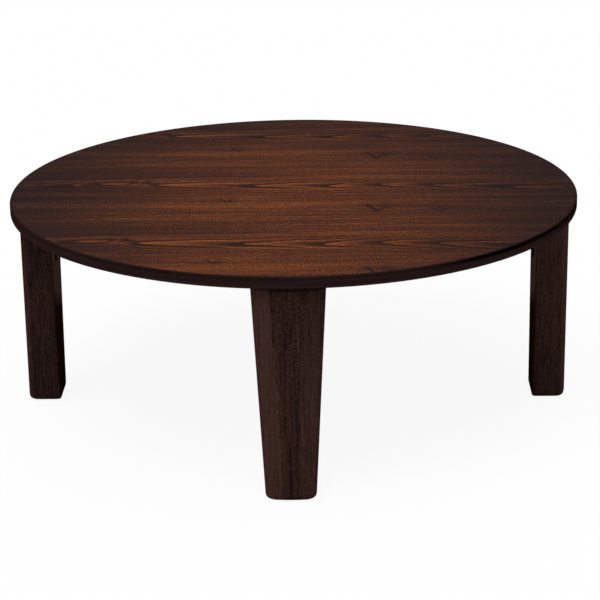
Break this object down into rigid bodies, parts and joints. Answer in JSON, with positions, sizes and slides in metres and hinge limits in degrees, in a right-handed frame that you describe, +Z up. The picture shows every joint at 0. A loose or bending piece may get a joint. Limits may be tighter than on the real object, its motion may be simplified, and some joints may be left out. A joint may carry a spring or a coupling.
{
  "type": "round kotatsu table",
  "caption": "Low round heated table: a loose veneered board on a slim frame with a heater under it, on wide tapering legs that fold in.",
  "frame": {"origin": "floor level on the table's axis", "axes": "+Z up along the table's axis, -Y towards the front leg, +X to the right leg"},
  "size_m": [0.9, 0.9, 0.35],
  "materials": {
    "face_veneer": "satin stained veneer",
    "edge_wood": "satin dark stain",
    "core_board": "raw fibreboard",
    "backing_paper": "matt backing foil",
    "frame_wood": "stained softwood",
    "dowel_wood": "raw beech",
    "leg_wood": "satin dark stain",
    "hinge_steel": "dark brown paint",
    "spring_steel": "blued spring steel",
    "pin_steel": "black zinc plated",
    "screw_steel": "black zinc plated",
    "pad_rubber": "soft rubber",
    "foot_felt": "needle felt",
    "heater_enamel": "heat-proof black paint",
    "guard_flock": "flocked black",
    "reflector_metal": "bright rolled",
    "quartz": "milky quartz",
    "white_ceramic": "unglazed ceramic",
    "motor_can": "zinc plated",
    "fan_sheet": "pressed sheet",
    "inlet_plastic": "moulded black",
    "pin_brass": "plain"
  },
  "bodies": {
    "frame": {"rail_front_right": "frame_wood", "rail_back_right": "frame_wood", "rail_back_left": "frame_wood", "rail_front_left": "frame_wood", "corner_block_front": "frame_wood", "corner_block_right": "frame_wood", "corner_block_back": "frame_wood", "corner_block_left": "frame_wood", "cross_rail_near": "frame_wood", "cross_rail_far": "frame_wood", "frame_dowels": "dowel_wood", "fold_bracket_front": "hinge_steel", "fold_bracket_right": "hinge_steel", "fold_bracket_back": "hinge_steel", "fold_bracket_left": "hinge_steel", "detent_spring_front": "spring_steel", "detent_spring_right": "spring_steel", "detent_spring_back": "spring_steel", "detent_spring_left": "spring_steel", "hinge_pins": "pin_steel", "bracket_screws": "screw_steel", "spring_screws": "screw_steel", "guard_screws": "screw_steel", "heater_screws": "screw_steel", "board_pads": "pad_rubber", "heater_housing": "heater_enamel", "heater_guard": "guard_flock", "heater_reflector": "reflector_metal", "quartz_tubes": "quartz", "tube_holders": "white_ceramic", "terminal_block": "white_ceramic", "fan_motor": "motor_can", "thermostat": "motor_can", "power_inlet": "inlet_plastic", "inlet_pins": "pin_brass"},
    "top_board": {"top_core": "core_board", "backing_sheet": "backing_paper", "edge_band": "edge_wood", "veneer_leaf_front": "face_veneer", "veneer_leaf_middle": "face_veneer", "veneer_leaf_rear": "face_veneer"},
    "leg_front": {"leg_front": "leg_wood", "leg_plate_front": "hinge_steel", "plate_screws_front": "screw_steel", "foot_pad_front": "foot_felt"},
    "leg_right": {"leg_right": "leg_wood", "leg_plate_right": "hinge_steel", "plate_screws_right": "screw_steel", "foot_pad_right": "foot_felt"},
    "leg_back": {"leg_back": "leg_wood", "leg_plate_back": "hinge_steel", "plate_screws_back": "screw_steel", "foot_pad_back": "foot_felt"},
    "leg_left": {"leg_left": "leg_wood", "leg_plate_left": "hinge_steel", "plate_screws_left": "screw_steel", "foot_pad_left": "foot_felt"},
    "fan": {"heater_fan": "fan_sheet", "fan_shaft": "pin_steel"}
  },
  "joints": [
    {"name": "top_lift", "type": "slide", "parent": "frame", "child": "top_board", "axis": [0, 0, 1], "range_m": [0, 0.12]},
    {"name": "fold_front", "type": "hinge", "parent": "frame", "child": "leg_front", "pos_m": [0, -0.3757, 0.28], "axis": [1, 0, 0], "range_deg": [0, 90], "deforming": ["detent_spring_front"]},
    {"name": "fold_right", "type": "hinge", "parent": "frame", "child": "leg_right", "pos_m": [0.3757, 0, 0.28], "axis": [0, 1, 0], "range_deg": [0, 90], "deforming": ["detent_spring_right"]},
    {"name": "fold_back", "type": "hinge", "parent": "frame", "child": "leg_back", "pos_m": [0, 0.3757, 0.28], "axis": [-1, 0, 0], "range_deg": [0, 90], "deforming": ["detent_spring_back"]},
    {"name": "fold_left", "type": "hinge", "parent": "frame", "child": "leg_left", "pos_m": [-0.3757, 0, 0.28], "axis": [0, -1, 0], "range_deg": [0, 90], "deforming": ["detent_spring_left"]},
    {"name": "fan_spin", "type": "hinge", "parent": "frame", "child": "fan", "pos_m": [0, 0, 0.3], "axis": [0, 0, 1], "continuous": true}
  ]
}
